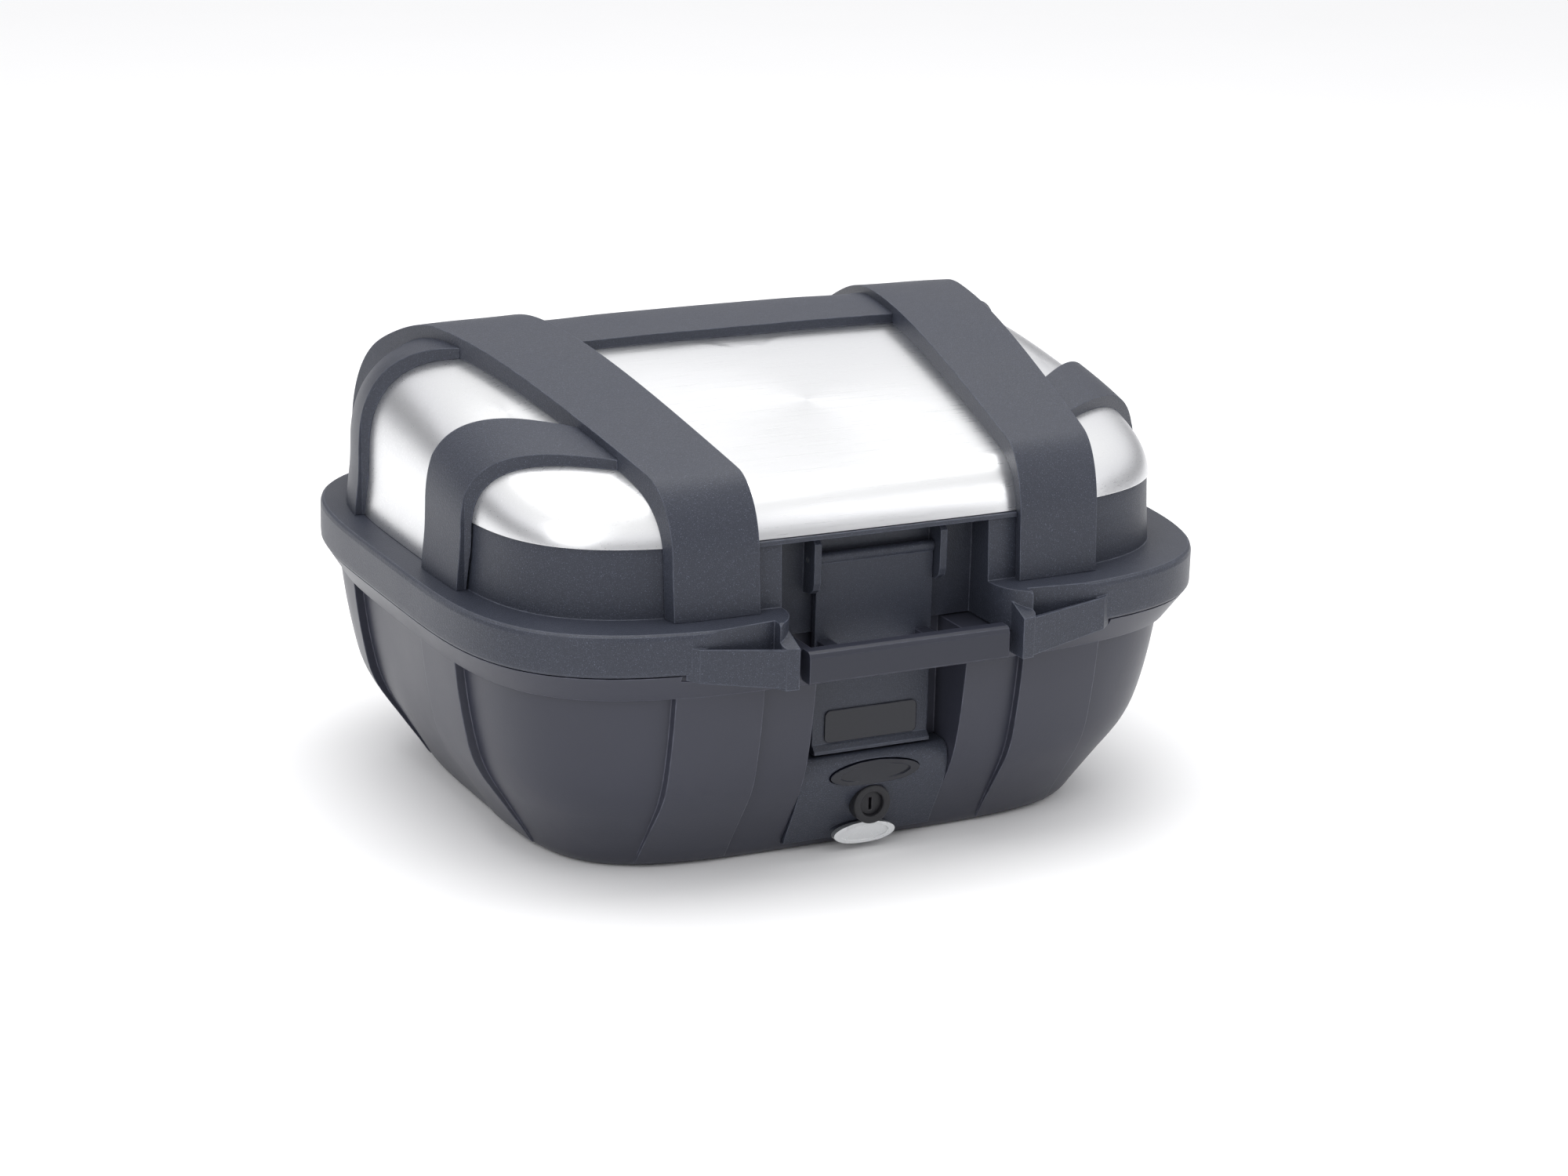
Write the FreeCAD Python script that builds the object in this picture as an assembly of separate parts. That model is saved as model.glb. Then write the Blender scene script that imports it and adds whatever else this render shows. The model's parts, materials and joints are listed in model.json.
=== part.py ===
"""Hard motorcycle top case: plastic lower shell, hinged lid with metal skins and moulded bands.

Frame: origin at the centre of the flat underside, +Z up, +X along the width, the lock side faces -Y.
All lengths are millimetres.
"""
import FreeCAD, Part
import math
import os

V = FreeCAD.Vector
X_AXIS = V(1, 0, 0)
FAR = 400.0

# ---------------------------------------------------------------- driving dimensions
# Closing rim: superellipse half axes and power, and the heights of its bands.
RIM_A, RIM_B, RIM_POWER = 280.0, 239.0, 4.2
TUB_RIM_BOTTOM, TUB_RIM_TOP = 141.0, 160.3
LID_RIM_BOTTOM, LID_RIM_TOP = 161.5, 190.0
TUB_RIM_INSET = 13.5
WALL = 3.0

# Lower shell wall: (height, inset from the rim's lower edge); the base turns in below the knee.
WALL_POWER = 4.5
WALL_PROFILE = [(143, 7), (115, 10.5), (90, 15), (71, 20), (55, 27), (40, 36), (24, 45.5),
                (12, 52.5), (5, 56.5), (1.5, 60), (0, 64)]
FLOOR_TOP = 5.0
STRIP_FOOT = 4.0
STRIP_RISE = (0.8, 6.2)
STRIP_FADE_HEIGHT = 71.0
FRONT_STRIP = (98.0, 160.0)
SIDE_STRIPS = [(-93.0, -34.0), (100.0, 163.0)]

# Lid dome: wall foot, shoulder widths, and the crown that falls away from its crest.
LID_A, LID_B, LID_POWER = 257.0, 207.0, 4.3
SHOULDER_Z, SHOULDER_LEAN = 225.0, 3.0
SHOULDER_SIDE, SHOULDER_ENDS = 86.0, 28.0
SIDE_POWER, ENDS_POWER = 2.9, 2.1
CREST_Y, CREST_Z = 80.0, 315.0
FRONT_SLOPE, FRONT_SOFT = 0.272, 120.0
REAR_SLOPE, REAR_SOFT = 0.60, 60.0
SIDE_CROWN = 5.0

# Metal skins and the moulded bands over them.
SKIN = 1.2
SKIN_LIFT = 0.05
SKIN_FRONT_Z = 237.0
BAND_LIFT, BAND_THICK = 1.35, 8.0
STRAP_WIDEN, STRAP_LIFT = 55.0, 6.0
STRAP_INNER, STRAP_INNER_FAN = 123.3, 0.119
STRAP_OUTER, STRAP_OUTER_FAN = 194.5, 0.168
SIDE_BAND = {"top": (-142.0, -99.0), "foot": (-93.0, -34.0)}
REAR_BAND = {"top": (24.0, 80.0), "foot": (100.0, 163.0)}
REAR_BAND_CENTRE = (32.0, 98.0)

# Front recess in lid and lower shell.
LID_RECESS_X, LID_RECESS_Y, LID_RECESS_TOP, LID_RECESS_RADIUS = 78.0, -181.0, 234.0, 34.0
TUB_RECESS_X, TUB_RECESS_Y = 57.0, -176.0
NICHE_Y, NICHE_BOTTOM, NICHE_TOP = -150.0, 8.0, 75.0
LAND_X, LAND_Y, LAND_HEIGHT = 94.0, -163.0, 6.0

# Rubber seal in its groove.
SEAL_WIDTH, SEAL_GROOVE_DEPTH, SEAL_GAP = 5.0, 4.3, 0.2
SEAL_A, SEAL_B = 255.5, 213.5
SEAL_STEP_Y = -172.5

# Tie-down horns on the lid rim: inner and outer ends.
HORN_X = (84.0, 152.0)
HORN_FACE_Y = (-246.0, -237.5)
HORN_TOP_Z = (173.0, 180.0)
HORN_BOTTOM_Z = (146.0, 157.5)
HORN_WALL = 4.0
HORN_END_WIDTH = 9.0

# Latch flap, its pivot on the lid and the carry handle.
FLAP_X, FLAP_FACE_Y, FLAP_THICK = 44.0, -189.0, 5.0
FLAP_PIVOT = (-186.5, 214.0)
FLAP_BARREL_RADIUS, FLAP_PIN_RADIUS, FLAP_PIN_HOLE = 4.0, 2.0, 2.05
FLAP_BOTTOM = 77.0
EAR_X, EAR_THICK = 45.0, 5.0
HANDLE_X, HANDLE_Z = 75.0, (147.0, 169.0)
HANDLE_FRONT, HANDLE_DEPTH = -243.0, 14.0
HANDLE_WEB_X, HANDLE_WEB_THICK = 32.0, 10.0
HANDLE_WEB_Z = (149.0, 157.0)
STRIKE_Y, STRIKE_Z, STRIKE_RADIUS = -180.5, 85.0, 1.8
BADGE_X, BADGE_Z, BADGE_THICK = 35.0, (83.5, 106.5), 1.2

# Lock housing and the parts in it.
HOUSING_GAP = 0.6
BUTTON_Z, BUTTON_HALF_X, BUTTON_HALF_Z = 61.0, 34.0, 8.5
LOCK_Z, LOCK_RING_RADIUS, LOCK_BARREL_RADIUS = 37.0, 14.0, 8.5
RELEASE_Z, RELEASE_HALF_X, RELEASE_HALF_Z = 13.0, 23.5, 7.5
HOUSING_SCREW_X, HOUSING_SCREW_Z = (-47.0, 47.0), 14.0
RUN = 0.05

# Rear hinges and the folding lid stays.
HINGE_Y, HINGE_Z, HINGE_X = 243.0, 161.0, 150.0
HINGE_WIDTH, KNUCKLE_RADIUS, HINGE_PIN_RADIUS = 44.0, 3.0, 1.6
LEAF_Y, LEAF_THICK = 238.5, 3.0
STAY_X, STAY_LOWER, STAY_UPPER_Z = 222.0, (150.0, 142.0), 180.0
STAY_WIDTH, STAY_RIVET, STAY_HEAD = 12.0, 2.5, 4.0
STAY_PAD_X = (226.0, 241.0)

# Underside recess that takes the rack plate.
RACK_X, RACK_Y, RACK_DEPTH = 95.0, (-128.0, 105.0), 20.0
INSERT_THICK = 3.0
BOLT_HALF_X, BOLT_Z = 15.0, (11.0, 15.0)


# ---------------------------------------------------------------- helpers
def box(x, y, z):
    """Block from three (low, high) pairs."""
    return Part.makeBox(x[1] - x[0], y[1] - y[0], z[1] - z[0], V(x[0], y[0], z[0]))


def rod(radius, start, end):
    """Round bar between two points."""
    axis = V(*end) - V(*start)
    return Part.makeCylinder(radius, axis.Length, V(*start), axis)


def plate(points, direction):
    """Flat polygon extruded along a vector."""
    corners = [V(*p) for p in points]
    face = Part.Face(Part.makePolygon(corners + [corners[0]]))
    return face.extrude(direction)


def plan_prism(points, low, high):
    """Prism standing on a polygon given in plan."""
    return plate([(x, y, low) for x, y in points], V(0, 0, high - low))


def side_prism(points, half_width):
    """Prism across the width from a polygon given in the YZ plane."""
    return plate([(-half_width, y, z) for y, z in points], V(2 * half_width, 0, 0))


def fuse(shapes):
    return shapes[0].multiFuse(shapes[1:]).removeSplitter()


def join(shapes):
    """Fuse one piece after another; steadier than fuse() where the surfaces are free-form."""
    whole = shapes[0]
    for shape in shapes[1:]:
        whole = whole.fuse(shape)
    return whole


def cut_each(shape, tools):
    """Cut with one tool after another."""
    for tool in tools:
        shape = shape.cut(tool)
    return shape


def group(shapes):
    return Part.makeCompound(shapes)


def mirrored(shape):
    return shape.mirror(V(0, 0, 0), X_AXIS)


def both_sides(shape):
    return [shape, mirrored(shape)]


def ellipse_bar(half_x, half_z, centre_z, front, back):
    """Bar along Y with an elliptical section."""
    curve = Part.Ellipse(V(0, front, centre_z), half_x, half_z)
    edge = curve.toShape()
    edge.rotate(V(0, front, centre_z), X_AXIS, 90)
    return Part.Face(Part.Wire(edge)).extrude(V(0, back - front, 0))


def ring(a, b, power, height):
    """Points of a closed superellipse; height is a number or a function of x and y."""
    count = 60
    points = []
    for i in range(count):
        angle = math.pi / 2 + 2 * math.pi * i / count
        c, s = math.cos(angle), math.sin(angle)
        reach = (abs(c / a) ** power + abs(s / b) ** power) ** (-1 / power)
        x, y = reach * c, reach * s
        points.append(V(x, y, height(x, y) if callable(height) else height))
    return points


def running_lengths(rows):
    """Mean running distance along several rows of points, from 0 to 1."""
    totals = [0.0]
    for i in range(1, len(rows[0])):
        step = sum(row[i].distanceToPoint(row[i - 1]) for row in rows) / len(rows)
        totals.append(totals[-1] + step)
    return [t / totals[-1] for t in totals]


def ring_curve(points, parameters):
    curve = Part.BSplineCurve()
    curve.interpolate(Points=points, PeriodicFlag=True, Parameters=parameters)
    return curve


def stack(rings, ruled=False):
    """Closed solid through a list of rings, with flat caps on the first and the last."""
    around = running_lengths([points + [points[0]] for points in rings])
    curves = [ring_curve(points, around) for points in rings]
    if ruled:
        return Part.makeLoft([Part.Wire(c.toShape()) for c in curves], True, True)
    columns = list(zip(*[c.getPoles() for c in curves]))
    across = running_lengths(columns)
    poles = []
    for column in columns:
        rise = Part.BSplineCurve()
        rise.interpolate(Points=list(column), Parameters=across)
        poles.append(rise.getPoles())
    surface = Part.BSplineSurface()
    surface.buildFromPolesMultsKnots(poles, curves[0].getMultiplicities(), rise.getMultiplicities(),
                                     curves[0].getKnots(), rise.getKnots(), True, False,
                                     curves[0].Degree, rise.Degree)
    side = surface.toShape()
    caps = [Part.Face(Part.Wire(c.toShape())) for c in (curves[0], curves[-1])]
    shell = Part.makeShell([side] + caps)
    shell.sewShape()
    solid = Part.makeSolid(shell)
    if solid.Volume < 0:
        solid.reverse()
    return solid


def rim_band(inset_low, inset_high, low, high):
    rings = [ring(RIM_A - inset_low, RIM_B - inset_low, RIM_POWER, low),
             ring(RIM_A - inset_high, RIM_B - inset_high, RIM_POWER, high)]
    return stack(rings, ruled=True)


def plain_ring(a, b, low, high):
    return stack([ring(a, b, RIM_POWER, low), ring(a, b, RIM_POWER, high)], ruled=True)


def export(name, shape):
    shape.exportStep("parts/" + name + ".step")


# ---------------------------------------------------------------- lid dome surface
def crown(x, y, grow=0.0):
    """Height of the lid's top before its edges turn down."""
    run = y - CREST_Y
    slope, soft = (REAR_SLOPE, REAR_SOFT) if run > 0 else (FRONT_SLOPE, FRONT_SOFT)
    drop = slope * (math.hypot(run, soft) - soft)
    return CREST_Z + grow - drop - SIDE_CROWN * (x / LID_A) ** 2


def dome(grow, foot, widen=0.0, lift=0.0):
    """Solid under the lid's outer surface, grown outward by a distance, standing on height foot.

    Widen adds to its half width alone and lift to its crown alone.
    """
    a, b = LID_A + grow + widen, LID_B + grow
    top = grow + lift
    rings = [ring(a, b, LID_POWER, foot)]
    middle = (foot + SHOULDER_Z) / 2
    lean = SHOULDER_LEAN * (middle - foot) / (SHOULDER_Z - foot)
    rings.append(ring(a - lean, b - lean, LID_POWER, middle))
    a, b = a - SHOULDER_LEAN, b - SHOULDER_LEAN
    steps = 8
    for i in range(steps + 1):
        angle = i / steps * math.pi / 2
        turn = math.sin(angle) ** (2 / ENDS_POWER)
        side = 1 - (1 - turn ** SIDE_POWER) ** (1 / SIDE_POWER)
        ends = 1 - (1 - turn ** ENDS_POWER) ** (1 / ENDS_POWER)

        def height(x, y, turn=turn):
            return SHOULDER_Z + (crown(x, y, top) - SHOULDER_Z) * turn

        rings.append(ring(a - SHOULDER_SIDE * side, b - SHOULDER_ENDS * ends, LID_POWER, height))
    a, b = a - SHOULDER_SIDE, b - SHOULDER_ENDS
    for share in (0.8, 0.55, 0.3):
        rings.append(ring(a * share, b * share, LID_POWER, lambda x, y: crown(x, y, top)))
    middle_slope = (crown(0, 5, top) - crown(0, -5, top)) / 10
    last = 0.06
    rings.append(ring(a * last, b * last, 2.5, lambda x, y: crown(0, 0, top) + middle_slope * y))
    return stack(rings)


def strap_region(margin=0.0):
    """Plan region of the right strap; it fans outward towards the rear."""
    front, rear = -260.0, 260.0
    return plan_prism([(STRAP_INNER + STRAP_INNER_FAN * front - margin, front),
                       (STRAP_OUTER + STRAP_OUTER_FAN * front + margin, front),
                       (STRAP_OUTER + STRAP_OUTER_FAN * rear + margin, rear),
                       (STRAP_INNER + STRAP_INNER_FAN * rear - margin, rear)], 100, FAR)


def cross_band_region(band):
    """Plan region of a band that slants back from the strap to the side wall."""
    top_x, foot_x = 175.0, LID_A
    reach = 40.0
    fronts = (band["top"][0], band["foot"][0])
    rears = (band["top"][1], band["foot"][1])
    front_fan = (fronts[1] - fronts[0]) / (foot_x - top_x)
    rear_fan = (rears[1] - rears[0]) / (foot_x - top_x)
    return plan_prism([(top_x - reach, fronts[0] - front_fan * reach), (foot_x, fronts[1]),
                       (foot_x + reach, fronts[1]), (foot_x + reach, rears[1]), (foot_x, rears[1]),
                       (top_x - reach, rears[0] - rear_fan * reach)], 100, FAR)


# ---------------------------------------------------------------- lower shell
def wall_stack(extra, low=0.0):
    """Lower shell wall grown outward by extra(height)."""
    rings = []
    for height, inset in reversed(WALL_PROFILE):
        if height >= low:
            half_a = RIM_A - TUB_RIM_INSET - inset + extra(height)
            half_b = RIM_B - TUB_RIM_INSET - inset + extra(height)
            rings.append(ring(half_a, half_b, WALL_POWER, height))
    return stack(rings)


def strip_rise(height):
    foot, full = STRIP_RISE
    return foot + (full - foot) * min(1.0, height / STRIP_FADE_HEIGHT)


def lower_strips():
    """Raised strips that carry the lid's bands down over the lower shell."""
    grown = wall_stack(strip_rise)
    regions = both_sides(box(FRONT_STRIP, (-FAR, FAR), (STRIP_FOOT, FAR)))
    for strip in SIDE_STRIPS:
        regions += both_sides(box((180, FAR), strip, (STRIP_FOOT, FAR)))
    return [grown.common(region) for region in regions]


def tub_cavity():
    rings = [ring(RIM_A - TUB_RIM_INSET - 66, RIM_B - TUB_RIM_INSET - 66, WALL_POWER, FLOOR_TOP)]
    for height, inset in reversed(WALL_PROFILE):
        if height > FLOOR_TOP + 2:
            half = -TUB_RIM_INSET - inset - WALL
            rings.append(ring(RIM_A + half, RIM_B + half, WALL_POWER, height))
    lower = stack(rings)
    upper = plain_ring(SEAL_A - 2.5, SEAL_B - 2.5, TUB_RIM_BOTTOM - 4, TUB_RIM_TOP + 1)
    return lower.fuse(upper)


def seal_path(grow, low, high):
    """Ring that follows the rim and steps back around the front recess."""
    outer = plain_ring(SEAL_A + SEAL_WIDTH + grow, SEAL_B + SEAL_WIDTH + grow, low, high)
    inner = plain_ring(SEAL_A - grow, SEAL_B - grow, low - 1, high + 1)
    leg_in, leg_out = 84.0 - grow, 84.0 + SEAL_WIDTH + grow
    back_y = (SEAL_STEP_Y - grow, SEAL_STEP_Y + SEAL_WIDTH + grow)
    loop = outer.cut(inner).cut(box((-leg_in, leg_in), (-FAR, 0), (low - 1, high + 1)))
    legs = both_sides(box((leg_in, leg_out), (-SEAL_B - 1, back_y[1]), (low, high)))
    back = box((-leg_out, leg_out), back_y, (low, high))
    return fuse([loop] + legs + [back])


def horn_clearance():
    """Space in front of the lower rim that the lid's horns and the handle close over."""
    gap = 1.2
    low_in, low_out = HORN_BOTTOM_Z[0] - 2 * gap, HORN_BOTTOM_Z[1] - gap
    end = HORN_X[1] + 7 + 2 * gap
    face = [(HORN_X[0] - 8, -FAR, low_in), (end, -FAR, low_out), (end, -FAR, 170),
            (HORN_X[0] - 8, -FAR, 170)]
    side = plate(face, V(0, FAR + HANDLE_FRONT + HANDLE_DEPTH + gap, 0))
    middle = box((-HORN_X[0], HORN_X[0]), (-FAR, HANDLE_FRONT + HANDLE_DEPTH + gap),
                 (HANDLE_Z[0] - 2 * gap, 170))
    return both_sides(side) + [middle]


def hinge_boss(low, high):
    half = HINGE_WIDTH / 2 + 4
    return both_sides(box((HINGE_X - half, HINGE_X + half), (205, LEAF_Y), (low, high)))


def lower_shell():
    outer = wall_stack(lambda height: 0.0)
    rim = rim_band(TUB_RIM_INSET, 1.8, TUB_RIM_BOTTOM, TUB_RIM_TOP)
    outer = join([rim] + hinge_boss(124, TUB_RIM_TOP - 0.4) + [outer] + lower_strips())
    keep = [box((-TUB_RECESS_X - WALL, TUB_RECESS_X + WALL), (-FAR, TUB_RECESS_Y + WALL), (0, FAR)),
            box((-TUB_RECESS_X - WALL, TUB_RECESS_X + WALL), (-FAR, NICHE_Y + WALL),
                (0, NICHE_TOP + WALL)),
            box((-LAND_X, LAND_X), (-FAR, LAND_Y), (TUB_RIM_BOTTOM + 6, FAR)),
            box((-RACK_X - WALL, RACK_X + WALL), (RACK_Y[0] - WALL, RACK_Y[1] + WALL),
                (0, RACK_DEPTH + WALL)),
            box((-BOLT_HALF_X - WALL, BOLT_HALF_X + WALL), (NICHE_Y, RACK_Y[0]), (0, RACK_DEPTH))]
    shell = outer.cut(cut_each(tub_cavity(), keep))
    groove = seal_path(0.4, TUB_RIM_TOP - SEAL_GROOVE_DEPTH, TUB_RIM_TOP + 1)
    lightening = rim_band(13.2, 5, 147, TUB_RIM_TOP + 1).cut(plain_ring(264.5, 222.5, 140, 170))
    lightening = lightening.cut(box((-170, 170), (-FAR, 0), (0, FAR)))
    lightening = lightening.cut(box((-190, 190), (0, FAR), (0, FAR)))
    cuts = [box((-TUB_RECESS_X, TUB_RECESS_X), (-FAR, TUB_RECESS_Y), (NICHE_TOP - 0.5, 170)),
            box((-TUB_RECESS_X, TUB_RECESS_X), (-FAR, NICHE_Y), (NICHE_BOTTOM, NICHE_TOP)),
            box((-RACK_X, RACK_X), RACK_Y, (-1, RACK_DEPTH)),
            box((-BOLT_HALF_X - 0.5, BOLT_HALF_X + 0.5), (NICHE_Y - 1, RACK_Y[0] + 1),
                (BOLT_Z[0] - 0.5, BOLT_Z[1] + 0.5))]
    return cut_each(shell, cuts + horn_clearance() + [groove, lightening])


# ---------------------------------------------------------------- lid shell
def lid_recess_cut(margin):
    """Plan shape of the lid's front recess, flared by an arc at its mouth."""
    half = LID_RECESS_X + margin
    back = LID_RECESS_Y + margin
    radius = LID_RECESS_RADIUS - margin
    mouth = -RIM_B - 4
    bend = mouth + radius
    turn = radius * (1 - math.sqrt(0.5))
    arc_right = Part.Arc(V(half, bend, 0), V(half + turn, mouth + turn, 0), V(half + radius, mouth, 0))
    arc_left = Part.Arc(V(-half - radius, mouth, 0), V(-half - turn, mouth + turn, 0), V(-half, bend, 0))
    front = -FAR
    edges = [Part.makeLine(V(-half, back, 0), V(half, back, 0)),
             Part.makeLine(V(half, back, 0), V(half, bend, 0)), arc_right.toShape(),
             Part.makeLine(V(half + radius, mouth, 0), V(half + radius, front, 0)),
             Part.makeLine(V(half + radius, front, 0), V(-half - radius, front, 0)),
             Part.makeLine(V(-half - radius, front, 0), V(-half - radius, mouth, 0)), arc_left.toShape(),
             Part.makeLine(V(-half, bend, 0), V(-half, back, 0))]
    face = Part.Face(Part.Wire(edges))
    face.translate(V(0, 0, 150))
    return face.extrude(V(0, 0, LID_RECESS_TOP + margin - 150))


def horn():
    """Tie-down horn: a front wall and a sloping end wall, open on top behind the front wall."""
    (x_in, x_out), (y_in, y_out) = HORN_X, HORN_FACE_Y
    band = plate([(x_in, -FAR, HORN_BOTTOM_Z[0]), (x_out + 7, -FAR, HORN_BOTTOM_Z[1]),
                  (x_out + 7, -FAR, HORN_TOP_Z[1]), (x_in, -FAR, HORN_TOP_Z[0])], V(0, FAR, 0))
    front_wall = plan_prism([(x_in, y_in), (x_out, y_out), (x_out + 7, y_out + 6),
                             (x_out, y_out + 6), (x_out - 3, y_out + HORN_WALL),
                             (x_in, y_in + HORN_WALL)], 130, 200).common(band)
    end = plan_prism([(x_in, y_in), (x_in + HORN_END_WIDTH, y_in + 1), (x_in + HORN_END_WIDTH + 14, -222),
                      (x_in, -206)], 130, 200)
    slope = side_prism([(y_in - 5, HORN_BOTTOM_Z[0]), (y_in - 5, HORN_TOP_Z[0] - 1),
                        (-214, LID_RIM_TOP - 2), (-190, LID_RIM_TOP - 2), (-190, LID_RIM_BOTTOM),
                        (HANDLE_FRONT + HANDLE_DEPTH, LID_RIM_BOTTOM),
                        (HANDLE_FRONT + HANDLE_DEPTH, HORN_BOTTOM_Z[0])], FAR)
    return [front_wall, end.common(slope)]


def ears():
    """Cheeks on the recess wall that hold the flap's pin."""
    pivot_y, pivot_z = FLAP_PIVOT
    profile = [(LID_RECESS_Y + 1, 232), (-193, 232), (-197, 227), (-197, 200), (-195.5, 195), (-191, 191.5),
               (LID_RECESS_Y + 1, 190)]
    block = plate([(EAR_X, y, z) for y, z in profile], V(EAR_THICK, 0, 0))
    hole = rod(FLAP_PIN_RADIUS, (0, pivot_y, pivot_z), (100, pivot_y, pivot_z))
    return both_sides(block.cut(hole))


def lid_screw_places():
    """Plan positions of the screws that hold the bands, under their centre lines."""
    places = []
    for y in (-120.0, -40.0, 40.0):
        middle = (STRAP_INNER + STRAP_OUTER + (STRAP_INNER_FAN + STRAP_OUTER_FAN) * y) / 2
        places.append((middle, y))
    return places


def lid_shell():
    inner, outer = dome(-WALL, LID_RIM_BOTTOM - 6.5), dome(0.0, LID_RIM_BOTTOM + 8.8)
    rim_rings = [(1.0, LID_RIM_BOTTOM), (0.2, 163.0), (0.0, 166.0), (0.0, 186.0), (0.7, 188.6),
                 (2.2, LID_RIM_TOP)]
    rim = stack([ring(RIM_A - inset, RIM_B - inset, RIM_POWER, z) for inset, z in rim_rings], ruled=True)
    solid = join([rim] + hinge_boss(LID_RIM_BOTTOM + 0.4, LID_RIM_TOP - 4.3) + [outer])
    land = box((-LAND_X, LAND_X), (-230, LAND_Y), (140, LID_RIM_BOTTOM + LAND_HEIGHT))
    cavity = cut_each(inner, [lid_recess_cut(WALL), land])
    shell = cut_each(solid, [cavity, lid_recess_cut(0)])
    horns = []
    for part in horn():
        horns += both_sides(part)
    lip = box((-98, 98), (-206.5, -200), (LID_RECESS_TOP - 0.4, SKIN_FRONT_Z - 0.4))
    pocket = plan_prism([(HORN_X[0] + 11, -241.5), (HORN_X[0] + 11, -229.5), (HORN_X[1] - 4, -235.5),
                         (HORN_X[1] - 4, -236.5)], 168, 200)
    shell = cut_each(join([shell, lip] + horns + ears()), both_sides(pocket))
    channel = plain_ring(RIM_A - 4, RIM_B - 4, 150, LID_RIM_TOP - WALL)
    channel = cut_each(channel, [plain_ring(264.5, 222.5, 140, 200), box((-170, 170), (-FAR, 0), (0, FAR)),
                                 box((-190, 190), (0, FAR), (0, FAR))])
    shell = shell.cut(channel)
    bosses, holes = [], []
    for x, y in lid_screw_places():
        top = crown(x, y)
        bosses += both_sides(rod(5, (x, y, top - 14), (x, y, top - 2.2)))
        holes += both_sides(rod(2.2, (x, y, top - 20), (x, y, top + 20)))
    return cut_each(join([shell] + bosses), holes)


def lid_screws():
    screws = []
    for x, y in lid_screw_places():
        top = crown(x, y)
        shank = rod(2.0, (x, y, top - 14.5), (x, y, top + 8))
        head = rod(4.0, (x, y, top - 17), (x, y, top - 14.05))
        screws.append(fuse([shank, head]))
    return screws + [mirrored(s) for s in screws]


# ---------------------------------------------------------------- metal skins and bands
def skins(dome_low, dome_high):
    sheet = dome_high.cut(dome_low)
    front_y = -LID_B - 30
    lower_front = plate([(-FAR, front_y, 0), (-FAR, front_y, SKIN_FRONT_Z),
                         (-FAR, -150, SKIN_FRONT_Z), (-FAR, SIDE_BAND["foot"][0] + 6, SKIN_FRONT_Z),
                         (-FAR, SIDE_BAND["foot"][0] + 6, LID_RIM_TOP + 0.3), (-FAR, FAR, LID_RIM_TOP + 0.3),
                         (-FAR, FAR, 0)], V(2 * FAR, 0, 0))
    half_gap = plan_prism([(STRAP_INNER + STRAP_INNER_FAN * -260 + 4, -260),
                           (STRAP_INNER + STRAP_INNER_FAN * 80 + 4, 80),
                           (-STRAP_INNER - STRAP_INNER_FAN * 80 - 4, 80),
                           (-STRAP_INNER - STRAP_INNER_FAN * -260 - 4, -260)], 100, FAR)
    below_front = box((-FAR, FAR), (-FAR, 0), (0, SKIN_FRONT_Z))
    rear_limit = REAR_BAND_CENTRE[0] + 8
    centre = sheet.common(half_gap).cut(box((-FAR, FAR), (rear_limit, FAR), (0, FAR)))
    centre = centre.cut(below_front)
    side_rear = plan_prism([(100, REAR_BAND["top"][0] - 60), (175, REAR_BAND["top"][0] + 8),
                            (LID_A, REAR_BAND["foot"][0] + 8), (FAR, REAR_BAND["foot"][0] + 8),
                            (FAR, FAR), (100, FAR)], 100, FAR)
    side = sheet.common(box((100, FAR), (-FAR, FAR), (0, FAR)))
    strap_inside = plan_prism([(STRAP_OUTER + STRAP_OUTER_FAN * -260 - 4, -260),
                               (STRAP_OUTER + STRAP_OUTER_FAN * 260 - 4, 260),
                               (0, 260), (0, -260)], 100, FAR)
    side = side.cut([strap_inside, side_rear, lower_front])
    return centre, side


def strap_band():
    """Strap over the lid: thicker on top than the cross bands, with upright side walls."""
    foot = LID_RIM_TOP - 5
    strap = dome(BAND_THICK, foot, STRAP_WIDEN, STRAP_LIFT).common(strap_region())
    strap = strap.cut(dome(BAND_LIFT, foot - 5))
    foot = box((-FAR, FAR), (-FAR, FAR), (0, LID_RIM_TOP + 0.2))
    return strap.cut(foot)


def cross_band(band_solid, band):
    region = cross_band_region(band)
    inside = plan_prism([(STRAP_OUTER + STRAP_OUTER_FAN * -260 + 0.05, -260),
                         (STRAP_OUTER + STRAP_OUTER_FAN * 260 + 0.05, 260),
                         (0, 260), (0, -260)], 100, FAR)
    foot = box((-FAR, FAR), (-FAR, FAR), (0, LID_RIM_TOP + 0.2))
    return band_solid.common(region).cut([inside, foot])


def rear_centre_band(band_solid):
    front, rear = REAR_BAND_CENTRE
    region = plan_prism([(STRAP_INNER + STRAP_INNER_FAN * front - 0.05, front),
                         (STRAP_INNER + STRAP_INNER_FAN * rear - 0.05, rear),
                         (-STRAP_INNER - STRAP_INNER_FAN * rear + 0.05, rear),
                         (-STRAP_INNER - STRAP_INNER_FAN * front + 0.05, front)], 100, FAR)
    return band_solid.common(region)


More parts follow.
